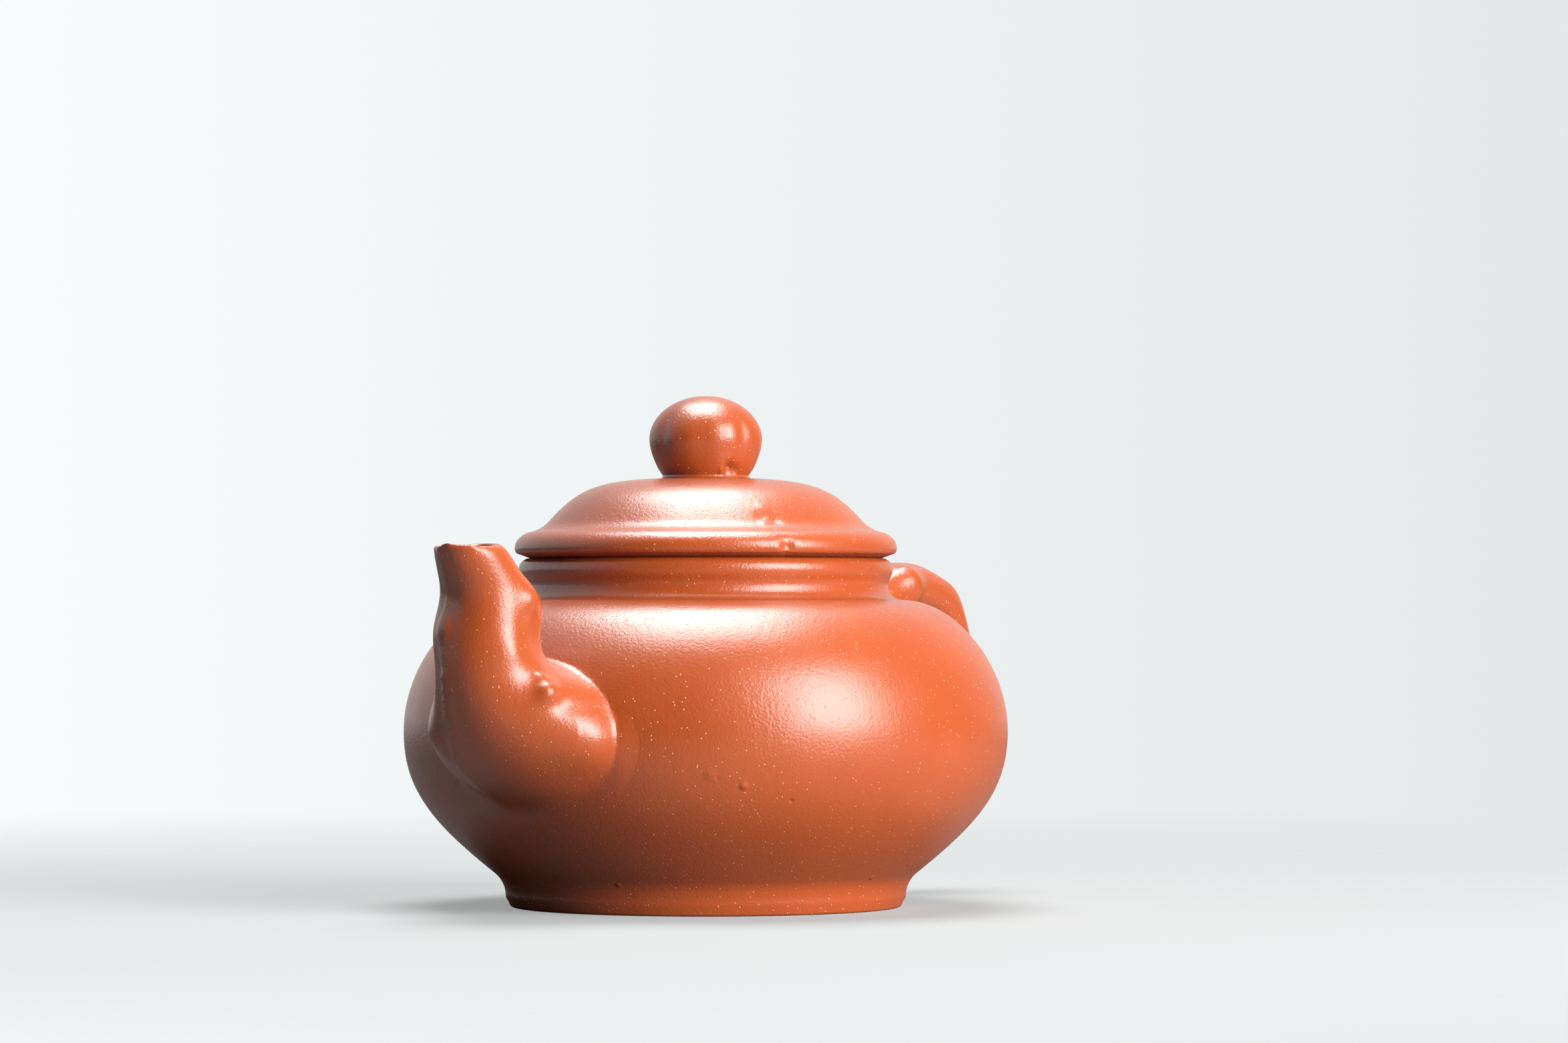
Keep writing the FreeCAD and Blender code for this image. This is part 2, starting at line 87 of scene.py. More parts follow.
# The lid's outline
LID_OVERHANG = 0.6
LID_RIM_HEIGHT = 4.2
LID_RIM_WIDTH = 4.0
LID_RIM_LIP = 1.5
LID_RIM_UNDERCUT = 0.6
LID_DOME_HEIGHT = 7.75
LID_DOME_ANGLE = 50.6
LID_DOME_FULLNESS = 2.0
LID_WALL = 2.6
FLANGE_CLEARANCE = 0.3
FLANGE_WALL = 2.2
FLANGE_DEPTH = 6.5
FLANGE_EDGE_ROUND = 0.5
LID_HOLLOW = 1.6
VENT_RADIUS = 1.0
VENT_LIP = 0.3
VENT_SINK = 0.2

# The knob's outline and its lobes
KNOB_SEAT_RADIUS = 7.2
KNOB_LIFT = 0.3
KNOB_NECK_RADIUS = 6.4
KNOB_NECK_HEIGHT = 0.55
KNOB_CROWN_FULLNESS = 0.68
KNOB_RADIUS = 8.5
KNOB_BELLY_HEIGHT = 5.9
KNOB_LOBES = 8
KNOB_TURN = math.radians(33)
KNOB_GROOVE = 0.42
KNOB_FRONT_GROOVE = 0.3
KNOB_PLAIN_FOOT = 0.8

# The way out of the pot
OUTLET_RADIUS = 5.4
OUTLET_HEIGHT = 23.5

# How finely the pieces are drawn
OUTLINE_STEP = 0.6
TURN_STEPS = 384
BRANCH_SKIN = 0.33

# How the branches are luted to the wall
COLLAR_LOW = 5.0
COLLAR_HIGH = 47.7
COLLAR_STEPS = 40
COLLAR_THICKNESS = 1.4
COLLAR_TOP = 0.5
COLLAR_LIFT = 0.03
COLLAR_SINK = 0.14
COLLAR_FADE = 4
ROOT_DEPTH = 0.9
ROOT_TOUCH = 0.05
ROOT_LOW = -0.7
ROOT_HIGH = 6
CREST_LOW = 0.6
CREST_HIGH = 4.5
SEAM_LOW = 0.5 * BRANCH_SKIN
SEAM_HIGH = 1.6 * BRANCH_SKIN
SEAM_CORE = 0.8
SEAM_RUBS = ((1.0, 12), (0.75, 16), (0.5, 24), (0.25, 12))
SKIN_RUBS = 3
RIDGE_RUBS = 40

# The spout: its ridge, then place, height and spread of its knuckles and pits
SPOUT_HALF_ANGLE = math.radians(31)
SPOUT_CREASE = 0.25
SPOUT_SOFTNESS = 3.7
SPOUT_SOFT_BELOW = 25
SPOUT_SOFT_FADE = 9
SPOUT_RIDGE_REACH = 2.2
SPOUT_LIP = 51.0
LIP_RUBS = 12
LIP_RISE = 0.7
SPOUT_RIDGE = (
    (42.0, -5.2, 16.0), (47.4, -5.2, 18.1), (51.2, -5.0, 20.7), (54.1, -4.8, 23.9),
    (56.1, -4.6, 27.3), (57.1, -4.4, 30.1), (58.2, -4.0, 35.2), (58.1, -2.8, 41.0),
    (57.6, -2.2, 45.0), (58.6, -1.8, 49.4), (60.3, -1.8, 51.8),
)
SPOUT_KNUCKLES = (
    ((49.6, 7.2, 45.8), 0.8, 2.0),
    ((48.6, 6.6, 40.6), -1.2, 4.2),
    ((54.0, 7.0, 38.4), 0.3, 2.4),
    ((58.4, -2.6, 41.6), 0.5, 1.9),
    ((58.6, -2.0, 45.6), -0.4, 1.9),
    ((54.6, -8.0, 25.8), 1.0, 2.6),
    ((52.7, -6.0, 22.0), 0.5, 2.2),
    ((51.0, 10.5, 32.8), 0.65, 1.5),
    ((50.6, 9.0, 34.7), 0.4, 0.9),
    ((49.2, 11.9, 30.6), -0.2, 1.6),
    ((46.4, 12.9, 30.6), -0.3, 2.6),
    ((43.4, 14.6, 29.6), -0.25, 2.4),
    ((45.6, 14.8, 24.8), 0.9, 4.4),
)

# The handle, in the same way
HANDLE_HALF_ANGLE = math.radians(19)
HANDLE_FILLET = 2.2
HANDLE_RIDGE_REACH = 2.0
HANDLE_RIDGE = (
    (-41.2, 2.2, 49.7), (-46.0, 2.0, 51.0), (-50.0, 1.7, 51.0), (-54.3, 1.7, 50.4), (-59.2, 1.7, 48.7),
    (-63.3, 1.8, 44.6), (-65.4, 1.9, 40.9), (-66.8, 1.8, 35.3), (-67.0, 1.7, 31.3), (-66.3, 1.8, 26.0),
    (-64.0, 1.8, 20.7), (-60.7, 1.8, 16.3), (-56.3, 1.6, 12.6), (-51.9, 1.8, 10.3),
    (-47.4, 2.0, 9.2), (-43.3, 1.9, 9.5),
)
HANDLE_KNUCKLES = (
    ((-46.2, 4.6, 48.4), 1.5, 2.8),
    ((-46.4, 5.6, 45.4), 0.35, 1.4),
    ((-52.0, 1.0, 51.0), 0.35, 5.0),
)

# Knocks in the lid and the knob: place, height and spread
LID_KNOCKS = (
    ((13.6, 25.0, 53.2), -0.7, 1.0),
    ((14.6, 24.6, 53.0), 0.15, 0.8),
    ((12.2, 19.4, 57.6), -0.28, 0.9),
    ((10.9, 20.6, 57.0), -0.22, 0.8),
    ((12.8, 20.2, 56.9), 0.2, 0.7),
    ((11.2, 18.6, 58.6), 0.12, 1.2),
)
KNOB_KNOCKS = (
    ((2.7, 6.2, 65.0), -0.8, 0.8),
    ((1.6, 6.6, 64.6), -0.35, 0.6),
    ((3.6, 5.9, 64.5), 0.35, 0.6),
)

# Pimples and pricks in the body's skin: place, radius, and height or depth
MARK_HEIGHT = 0.0002
SMALL_MARKS = (
    ((31.5, 30.4, 19.2), 0.55, 1.0),
    ((35.0, 27.2, 20.8), 0.8, 0.6),
    ((34.4, 28.0, 20.2), 0.4, -0.6),
    ((30.0, 6.9, 4.6), 0.4, 0.9),
    ((1.8, 31.5, 5.1), 0.4, 0.9),
    ((25.5, 34.4, 17.0), 0.35, -0.5),
    ((40.5, 20.0, 15.0), 0.4, 0.5),
    ((10.0, 43.0, 18.0), 0.4, 0.7),
    ((-20.0, 38.5, 20.0), 0.5, 0.7),
    ((-30.0, -31.0, 24.0), 0.5, 0.6),
)
MARK_SPREAD = 1.6

# The potter's hands
PRESS_DEPTH = 0.25
BROAD_PRESS = 0.045
SMALL_PRESS = 0.17
KNUCKLE_EDGE = 2.6
SHARP_ANGLE = math.radians(38)

# Clay, floor and backdrop
CLAY = (0.318, 0.060, 0.0125, 1)
DEEP_CLAY = (0.262, 0.043, 0.008, 1)
BARE_CLAY = (0.42, 0.095, 0.035, 1)
PALE_GRAIN = (0.68, 0.27, 0.13, 1)
FLOOR_COLOR = (0.35, 0.36, 0.36, 1)
FLOOR_BOUNCE_COLOR = (0.15, 0.15, 0.15, 1)
BACKDROP_COLOR = (0.84, 0.87, 0.87, 1)
GRAIN_EDGE = 0.24
GRAIN_CORE = 0.08
GRAIN_CHOICE = 0.84
GRAIN_HEIGHT = 0.00006
GLOSS_SPREAD = 0.06

# Camera
CAMERA_TURN = math.radians(37)
CAMERA_DISTANCE = 0.841
CAMERA_HEIGHT = 0.045
CAMERA_LENS = 129.9
CAMERA_SHIFT_X = 0.0499
CAMERA_SHIFT_Y = 0.0522

# Softboxes: name, turn, lift, width, height, power, and whether the clay's gloss shows them
LIGHT_DISTANCE = 0.9
LIGHTS = (
    ("key", 49, 24, 0.52, 0.66, 10.5, True),
    ("side", 95, 12, 0.7, 0.7, 2.0, False),
    ("low", 48, 10, 0.6, 0.3, 14.5, False),
    ("overhead", 188, 79, 0.52, 0.68, 13, True),
)

# Floor and room
FLOOR_REACH = 1.2
FADE_START = 0.10
FADE_END = 0.42
FADE_LEAST = 0.35
ROOM_DIM = 0.01
ROOM_PALE = 1.0
ROOM_FILL = 0.03
# Painted light falloff across the camera's backdrop: its brightness at the left and right edges, and the
# half-width it spreads over
BACKDROP_LEFT = 1.12
BACKDROP_RIGHT = 0.93
BACKDROP_HALF_WIDTH = 0.14

# Heights and radii that follow
FOOT_BORE_RADIUS = FOOT_RADIUS - FOOT_WALL
BASE_RADIUS = FOOT_BORE_RADIUS + BASE_LEDGE
FLOOR = FOOT_HEIGHT + BASE_THICKNESS
SHOULDER_SEAM_RADIUS = NECK_RADIUS + SHOULDER_WIDTH
NECK_SEAM = SHOULDER_HEIGHT + NECK_FILLET * (1 - QUARTER_ROUND)
NECK_WAIST = SHOULDER_HEIGHT + NECK_FILLET
MOUTH_SEAM = NECK_WAIST + NECK_WAVE / 2
MOUTH_BEAD = NECK_WAIST + NECK_WAVE
MOUTH_TOP = MOUTH_BEAD + MOUTH_BEAD_ROUND
MOUTH_BEAD_RADIUS = NECK_RADIUS + NECK_BEAD
MOUTH_RIM_RADIUS = MOUTH_BEAD_RADIUS - MOUTH_BEAD_ROUND
MOUTH_BORE_RADIUS = NECK_RADIUS - NECK_WALL
LID_RADIUS = MOUTH_BEAD_RADIUS + LID_OVERHANG
LID_DOME_RADIUS = LID_RADIUS - LID_RIM_WIDTH
LID_DOME_BASE = MOUTH_TOP + LID_RIM_HEIGHT
LID_TOP = LID_DOME_BASE + LID_DOME_HEIGHT
FLANGE_RADIUS = MOUTH_BORE_RADIUS - FLANGE_CLEARANCE
FLANGE_BORE_RADIUS = FLANGE_RADIUS - FLANGE_WALL
POT_MIDDLE = Vector((0, 0, BELLY_HEIGHT))


def at(radius, height):
    """A point of a turned outline."""
    return Vector((radius, 0, height))


def bow(start, corner, end, fullness):
    """Points after start on a curve that leaves and arrives along the corner's two sides."""
    steps = max(5, round((end - start).length / OUTLINE_STEP))
    points = []
    for i in range(1, steps + 1):
        far = i / steps
        near = 1 - far
        pull = 2 * fullness * near * far
        sum_of_pulls = near * near + pull + far * far
        points.append((start * near * near + corner * pull + end * far * far) / sum_of_pulls)
    return points


def pot_outside():
    """The pot's outline from the sole to the rim of the mouth."""
    flare = math.radians(FLARE_ANGLE)
    half_bend = (math.pi / 2 - flare) / 2
    reach = FOOT_FILLET * math.tan(half_bend)
    side_bottom = at(FOOT_RADIUS - FOOT_TAPER, FOOT_EDGE_ROUND)
    side_top = at(FOOT_RADIUS, FOOT_HEIGHT - reach)
    flare_start = at(FOOT_RADIUS + reach * math.cos(flare), FOOT_HEIGHT + reach * math.sin(flare))
    sole = at(side_bottom.x - FOOT_EDGE_ROUND, 0)
    belly = at(BELLY_RADIUS, BELLY_HEIGHT)
    rise = (BELLY_RADIUS - FOOT_RADIUS) * math.tan(flare)
    neck_start = at(NECK_RADIUS + NECK_FILLET, SHOULDER_HEIGHT)
    waist = at(NECK_RADIUS, NECK_WAIST)
    middle = at(NECK_RADIUS + NECK_BEAD / 2, MOUTH_SEAM)
    bead = at(MOUTH_BEAD_RADIUS, MOUTH_BEAD)
    rim = at(MOUTH_RIM_RADIUS, MOUTH_TOP)
    line = [at(FOOT_BORE_RADIUS, 0), sole]
    line += bow(sole, at(side_bottom.x, 0), side_bottom, QUARTER_ROUND)
    line += [side_top]
    line += bow(side_top, at(FOOT_RADIUS, FOOT_HEIGHT), flare_start, math.cos(half_bend))
    line += bow(flare_start, at(BELLY_RADIUS, FOOT_HEIGHT + rise), belly, BELLY_FULLNESS_BELOW)
    line += bow(belly, at(BELLY_RADIUS, SHOULDER_HEIGHT), neck_start, BELLY_FULLNESS_ABOVE)
    line += bow(neck_start, at(NECK_RADIUS, SHOULDER_HEIGHT), waist, QUARTER_ROUND)
    line += bow(waist, at(waist.x, (waist.z + middle.z) / 2), middle, PLAIN_CURVE)
    line += bow(middle, at(bead.x, (middle.z + bead.z) / 2), bead, PLAIN_CURVE)
    line += bow(bead, at(bead.x, MOUTH_TOP), rim, QUARTER_ROUND)
    return line


def pot_inside():
    """The pot's outline from the mouth down to the floor, under the floor and down the foot."""
    inside = BELLY_RADIUS - WALL
    ceiling = SHOULDER_HEIGHT - WALL
    lip_start = at(MOUTH_BORE_RADIUS + MOUTH_EDGE_ROUND, MOUTH_TOP)
    lip_end = at(MOUTH_BORE_RADIUS, MOUTH_TOP - MOUTH_EDGE_ROUND)
    ceiling_edge = at(NECK_RADIUS + NECK_FILLET - WALL, ceiling)
    widest = at(inside, BELLY_HEIGHT)
    floor_edge = at(BASE_RADIUS, FLOOR)
    line = [lip_start]
    line += bow(lip_start, at(MOUTH_BORE_RADIUS, MOUTH_TOP), lip_end, QUARTER_ROUND)
    line += [at(MOUTH_BORE_RADIUS, ceiling), ceiling_edge]
    line += bow(ceiling_edge, at(inside, ceiling), widest, CHAMBER_FULLNESS_ABOVE)
    line += bow(widest, at(inside, FLOOR), floor_edge, CHAMBER_FULLNESS_BELOW)
    line += [at(0, FLOOR), at(0, FOOT_HEIGHT), at(FOOT_BORE_RADIUS, FOOT_HEIGHT)]
    return line


def lid_outline():
    """The lid's section without flange and knob."""
    slope = math.tan(math.radians(LID_DOME_ANGLE))
    ceiling = LID_TOP - LID_WALL
    seat = at(MOUTH_RIM_RADIUS, MOUTH_TOP)
    lip_bottom = at(LID_RADIUS - LID_RIM_UNDERCUT, MOUTH_TOP + LID_RIM_UNDERCUT)
    lip = at(LID_RADIUS, MOUTH_TOP + LID_RIM_LIP)
    dome_foot = at(LID_DOME_RADIUS, LID_DOME_BASE)
    dome_corner = at(LID_DOME_RADIUS - LID_DOME_HEIGHT / slope, LID_TOP)
    spring = at(FLANGE_BORE_RADIUS, LID_DOME_BASE)
    hollow_corner = at(FLANGE_BORE_RADIUS - (ceiling - LID_DOME_BASE) / slope, ceiling)
    line = [at(FLANGE_BORE_RADIUS, MOUTH_TOP), seat, lip_bottom]
    line += bow(lip_bottom, at(LID_RADIUS, lip_bottom.z), lip, QUARTER_ROUND)
    rim = bow(lip, at(LID_RADIUS, LID_DOME_BASE), dome_foot, QUARTER_ROUND)
    dome = bow(dome_foot, dome_corner, at(0, LID_TOP), LID_DOME_FULLNESS)
    rim = [point for point in rim if (point - dome_foot).length > LID_HOLLOW]
    dome = [point for point in dome if (point - dome_foot).length > LID_HOLLOW]
    line += rim
    line += bow(rim[-1], dome_foot, dome[0], PLAIN_CURVE)
    line += dome[1:]
    line += [at(0, ceiling)]
    line += bow(at(0, ceiling), hollow_corner, spring, LID_DOME_FULLNESS)
    return line


def flange_outline():
    """The section of the ring under the lid."""
    bottom = MOUTH_TOP - FLANGE_DEPTH
    outer_low = at(FLANGE_RADIUS, bottom + FLANGE_EDGE_ROUND)
    outer_end = at(FLANGE_RADIUS - FLANGE_EDGE_ROUND, bottom)
    line = [at(FLANGE_BORE_RADIUS, MOUTH_TOP), at(FLANGE_RADIUS, MOUTH_TOP), outer_low]
    line += bow(outer_low, at(FLANGE_RADIUS, bottom), outer_end, QUARTER_ROUND)
    line += [at(FLANGE_BORE_RADIUS, bottom)]
    return line


def knob_outline(bottom, top):
    """Half the knob's section, from the vent's edge at its foot to the vent's edge at its crown."""
    foot = at(KNOB_SEAT_RADIUS, bottom)
    neck = at(KNOB_NECK_RADIUS, bottom + KNOB_NECK_HEIGHT)
    belly = at(KNOB_RADIUS, bottom + KNOB_BELLY_HEIGHT)
    crown = bow(belly, at(KNOB_RADIUS, top), at(0, top), KNOB_CROWN_FULLNESS)
    line = [at(VENT_RADIUS, bottom), foot]
    line += bow(foot, at(neck.x, bottom), neck, PLAIN_CURVE)
    line += bow(neck, at(belly.x, (neck.z + belly.z) / 2), belly, QUARTER_ROUND)
    line += [point for point in crown if point.x > VENT_RADIUS + VENT_LIP]
    line += [at(VENT_RADIUS, line[-1].z - VENT_SINK)]
    return line


def lobed(bm, bottom, top):
    """Presses soft grooves into a turned knob, deepest at its belly and faint at its front and back."""
    plain = bottom + KNOB_PLAIN_FOOT
    for vert in bm.verts:
        turn = math.atan2(vert.co.y, vert.co.x) - KNOB_TURN
        groove = (0.5 + 0.5 * math.cos(KNOB_LOBES * turn)) ** 3
        groove *= KNOB_FRONT_GROOVE + (1 - KNOB_FRONT_GROOVE) * abs(math.sin(turn))
        share = min(1, max(0, (vert.co.z - plain) / (top - plain)))
        depth = KNOB_GROOVE * groove * math.sin(math.pi * share) ** 2
        vert.co.xy *= 1 - depth / KNOB_RADIUS


def section(line):
    """A closed outline as one flat face."""
    bm = bmesh.new()
    bm.faces.new([bm.verts.new(point) for point in line])
    return bm


def parted(line, *cuts):
    """The section inside an outline, with all that lies beyond the cuts taken off."""
    bm = section(line)
    for place, beyond in cuts:
        bmesh.ops.bisect_plane(
            bm, geom=bm.verts[:] + bm.edges[:] + bm.faces[:], dist=1e-5,
            plane_co=place, plane_no=beyond, clear_outer=True,
        )
    return bm


def turned(bm):
    """Sweeps a section's outline all the way round the pot's axis."""
    bmesh.ops.delete(bm, geom=bm.faces[:], context="FACES_ONLY")
    bmesh.ops.spin(
        bm, geom=bm.verts[:] + bm.edges[:], cent=(0, 0, 0), axis=UP,
        angle=2 * math.pi, steps=TURN_STEPS, use_merge=True,
    )
    bmesh.ops.remove_doubles(bm, verts=bm.verts, dist=1e-4)
    bmesh.ops.recalc_face_normals(bm, faces=bm.faces)
    return bm


def merged_copy(node):
    """A CAD node's skin in millimetres, with its loose triangles joined up."""
    bm = bmesh.new()
    bm.from_mesh(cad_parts[node].data)
    bmesh.ops.scale(bm, vec=(1 / MM, 1 / MM, 1 / MM), verts=bm.verts)
    bmesh.ops.remove_doubles(bm, verts=bm.verts, dist=1e-3)
    return bm


def poured_together(shapes, grain):
    """One even skin round all the shapes, with squares of the given grain."""
    mesh = bpy.data.meshes.new("lump")
    joined = bmesh.new()
    for bm in shapes:
        bm.to_mesh(mesh)
        bm.free()
        joined.from_mesh(mesh)
    joined.to_mesh(mesh)
    joined.free()
    lump = bpy.data.objects.new("lump", mesh)
    bpy.context.scene.collection.objects.link(lump)
    skin = lump.modifiers.new("skin", "REMESH")
    skin.mode = "VOXEL"
    skin.voxel_size = grain
    depsgraph = bpy.context.evaluated_depsgraph_get()
    skinned = bpy.data.meshes.new_from_object(lump.evaluated_get(depsgraph))
    bm = bmesh.new()
    bm.from_mesh(skinned)
    bpy.data.objects.remove(lump)
    bpy.data.meshes.remove(mesh)
    bpy.data.meshes.remove(skinned)
    return bm


def rubbed(bm, verts, times):
    """Smooths a part of a skin as a wet finger does."""
    for _ in range(times):
        bmesh.ops.smooth_vert(
            bm, verts=verts, factor=0.5, use_axis_x=True, use_axis_y=True, use_axis_z=True,
        )


def ease(share):
    """Goes from 0 to 1 with a soft start and a soft end."""
    share = min(1, max(0, share))
    return share * share * (3 - 2 * share)


def facing(face):
    """Above 0 for a face that looks away from the pot's middle, below 0 for one that looks at it."""
    return face.normal.dot(face.calc_center_median() - POT_MIDDLE)


def wall_skin(line, start, angle, steps):
    """The pot's outer skin along an outline, from one direction to another."""
    bm = bmesh.new()
    verts = [bm.verts.new(point) for point in line]
    for near, far in zip(verts, verts[1:]):
        bm.edges.new((near, far))
    bmesh.ops.rotate(bm, cent=(0, 0, 0), matrix=Matrix.Rotation(start, 3, "Z"), verts=bm.verts)
    bmesh.ops.spin(
        bm, geom=bm.verts[:] + bm.edges[:], cent=(0, 0, 0), axis=UP,
        angle=angle, steps=steps, use_merge=angle > math.pi,
    )
    bmesh.ops.recalc_face_normals(bm, faces=bm.faces)
    for face in bm.faces:
        if facing(face) <= 0:
            face.normal_flip()
    return bm


def wall_tree():
    """The pot's outer skin, ready to be asked for its nearest place."""
    bm = wall_skin(pot_outside()[1:], 0, 2 * math.pi, TURN_STEPS)
    tree = BVHTree.FromBMesh(bm)
    bm.free()
    return tree


def collar(start, angle):
    """A thin slab of the wall under a branch's roots."""
    line = [point for point in pot_outside() if COLLAR_LOW < point.z < COLLAR_HIGH]
    bm = wall_skin(line, start, angle, COLLAR_STEPS)
    bmesh.ops.solidify(bm, geom=bm.faces[:], thickness=COLLAR_THICKNESS)
    return bm


def height_over(tree, place):
    """How far a place stands out of the pot's wall, and which way the wall faces there."""
    foot, normal, _, _ = tree.find_nearest(place)
    return (place - foot).dot(normal), normal


def sunk_roots(node, tree):
    """A branch's skin with the ends that touch the wall pushed into it."""
    branch = merged_copy(node)
    for vert in branch.verts:
        above, normal = height_over(tree, vert.co)
        if abs(above) < ROOT_TOUCH:
            vert.co -= normal * ROOT_DEPTH
    return branch


def distance_to_seam(bm, heights):
    """How far each point near the root lies from the line where branch and wall meet."""
    seam = [vert.co for vert in bm.verts if SEAM_LOW < heights[vert] < SEAM_HIGH]
    seam_tree = KDTree(len(seam))
    for i, place in enumerate(seam):
        seam_tree.insert(place, i)
    seam_tree.balance()
    reach = {}
    for vert in bm.verts:
        if ROOT_LOW < heights[vert] < ROOT_HIGH:
            reach[vert] = seam_tree.find(vert.co)[2]
    return reach


def luted_branch(node, tree, around, half_angle, fillet):
    """A branch grown together with the wall under it; fillet gives the seam's softness at a place."""
    wall_piece = collar(around - half_angle, 2 * half_angle)
    bm = poured_together([sunk_roots(node, tree), wall_piece], BRANCH_SKIN)
    rubbed(bm, bm.verts[:], SKIN_RUBS)
    heights = {vert: height_over(tree, vert.co)[0] for vert in bm.verts}
    reach = distance_to_seam(bm, heights)
    crest = [vert for vert in reach if CREST_LOW < heights[vert] < CREST_HIGH]
    rubbed(bm, crest, RIDGE_RUBS)
    for share, times in SEAM_RUBS:
        near = [vert for vert, away in reach.items() if away < share * fillet(vert.co)]
        rubbed(bm, near, times)
    for vert, away in reach.items():
        above, normal = height_over(tree, vert.co)
        if above < COLLAR_TOP:
            share = ease((away - SEAM_CORE * fillet(vert.co)) / COLLAR_FADE)
            vert.co += normal * (COLLAR_LIFT - COLLAR_SINK * share)
    return bm


def swelled(bm, knuckles):
    """Pushes knuckles out of a skin, and pits into it: place, height and spread of each."""
    bm.normal_update()
    for place, height, spread in knuckles:
        centre = Vector(place)
        for vert in bm.verts:
            away = (vert.co - centre).length / spread
            if away < KNUCKLE_EDGE:
                vert.co += vert.normal * height * math.exp(-away * away)


def along(bm, line, reach):
    """The points of a skin that lie near a line of places."""
    places = [Vector(place) for place in line]
    near = []
    for vert in bm.verts:
        for start, end in zip(places, places[1:]):
            _, share = intersect_point_line(vert.co, start, end)
            foot = start.lerp(end, min(1, max(0, share)))
            if (vert.co - foot).length < reach:
                near.append(vert)
                break
    return near


def hand_pressed(bm, depth):
    """Leaves the marks of the potter's hands: broad, shallow hollows, none at foot and mouth."""
    for vert in bm.verts:
        share = ease((vert.co.z - 1) / 8) * ease((NECK_SEAM - vert.co.z) / 6)
        broad = 0.5 + 0.5 * noise.noise(vert.co * BROAD_PRESS)
        small = 0.5 + 0.5 * noise.noise(vert.co * SMALL_PRESS)
        radial = Vector((vert.co.x, vert.co.y, 0)).normalized()
        vert.co -= radial * share * depth * (0.8 * broad + 0.2 * small)


def finished(bm, name, body, materials, nodes):
    """Turns a shape in millimetres into a piece that stands for CAD nodes and moves with a body."""
    bmesh.ops.scale(bm, vec=(MM, MM, MM), verts=bm.verts)
    mesh = bpy.data.meshes.new(name)
    bm.to_mesh(mesh)
    bm.free()
    for material in materials:
        mesh.materials.append(material)
    mesh.shade_smooth()
    mesh.set_sharp_from_angle(angle=SHARP_ANGLE)
    piece = bpy.data.objects.new(name, mesh)
    bpy.context.scene.collection.objects.link(piece)
    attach(piece, body)
    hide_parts(*nodes)
    return piece


def bare_inside(bm):
    """Gives the faces that look back at the pot's middle the second, bare finish."""
    for face in bm.faces:
        if facing(face) < 0:
            face.material_index = 1


class Nodes:
    """Short words for adding and joining a material's nodes."""

    def __init__(self, tree):
        self.tree = tree

    def add(self, kind, **settings):
        node = self.tree.nodes.new(kind)
        for name, value in settings.items():
            if hasattr(node, name) and name not in node.inputs:
                setattr(node, name, value)
            else:
                self.give(node, name, value)
        return node

    def give(self, node, name, value):
        socket = node.inputs[name]
        if isinstance(value, bpy.types.NodeSocket):
            self.tree.links.new(value, socket)
        else:
            socket.default_value = value

    def sums(self, operation, first, second):
        """Two numbers worked into one."""
        node = self.add("ShaderNodeMath", operation=operation)
        self.give(node, 0, first)
        self.give(node, 1, second)
        return node.outputs[0]

    def measured(self, operation, *vectors):
        """A number taken from one or two vectors."""
        node = self.add("ShaderNodeVectorMath", operation=operation)
        for i, vector in enumerate(vectors):
            self.give(node, i, vector)
        return node.outputs["Value"]

    def ramp(self, value, start, end, low=0.0, high=1.0, soft=False):
        """Low where a value is at start, high where it is at end."""
        node = self.add("ShaderNodeMapRange", Value=value)
        node.interpolation_type = "SMOOTHSTEP" if soft else "LINEAR"
        self.give(node, "From Min", start)
        self.give(node, "From Max", end)
        self.give(node, "To Min", low)
        self.give(node, "To Max", high)
        return node.outputs["Result"]

    def level(self, share, first, second):
        """The first number where share is 0, the second where it is 1."""
        node = self.add("ShaderNodeMix")
        self.give(node, 0, share)
        self.give(node, 2, first)
        self.give(node, 3, second)
        return node.outputs[0]

    def tint(self, share, first, second):
        """The first colour where share is 0, the second where it is 1."""
        node = self.add("ShaderNodeMix", data_type="RGBA")
        self.give(node, 0, share)
        self.give(node, 6, first)
        self.give(node, 7, second)
        return node.outputs[2]

    def raised(self, height, distance, under=None):
        """A skin that a height raises by up to a distance, over the skin under it."""
        node = self.add("ShaderNodeBump", Strength=1.0, Distance=distance, Height=height)
        if under is not None:
            self.give(node, "Normal", under)
        return node.outputs["Normal"]


def new_material(name):
    """A plain material, the words to add to it, and its shader."""
    material = bpy.data.materials.new(name)
    material.use_nodes = True
    return material, Nodes(material.node_tree), material.node_tree.nodes["Principled BSDF"]


def small_marks(nodes, place):
    """The height of the pimples and pricks in the skin."""
    total = 0.0
    for middle, radius, height in SMALL_MARKS:
        away = nodes.measured("DISTANCE", place, Vector(middle) * MM)
        mark = nodes.ramp(away, 0.0, MARK_SPREAD * radius * MM, height, 0.0, soft=True)
        total = nodes.sums("ADD", total, mark)
    return total


def pale_grains(nodes, place):
    """1 in the middle of a few scattered grains, else 0."""
    cells = nodes.add("ShaderNodeTexVoronoi", Vector=place, Scale=1900.0)
    choice = nodes.add("ShaderNodeSeparateColor", Color=cells.outputs["Color"]).outputs["Red"]
    chosen = nodes.sums("GREATER_THAN", choice, GRAIN_CHOICE)
    return nodes.sums("MULTIPLY", nodes.ramp(cells.outputs["Distance"], GRAIN_EDGE, GRAIN_CORE), chosen)


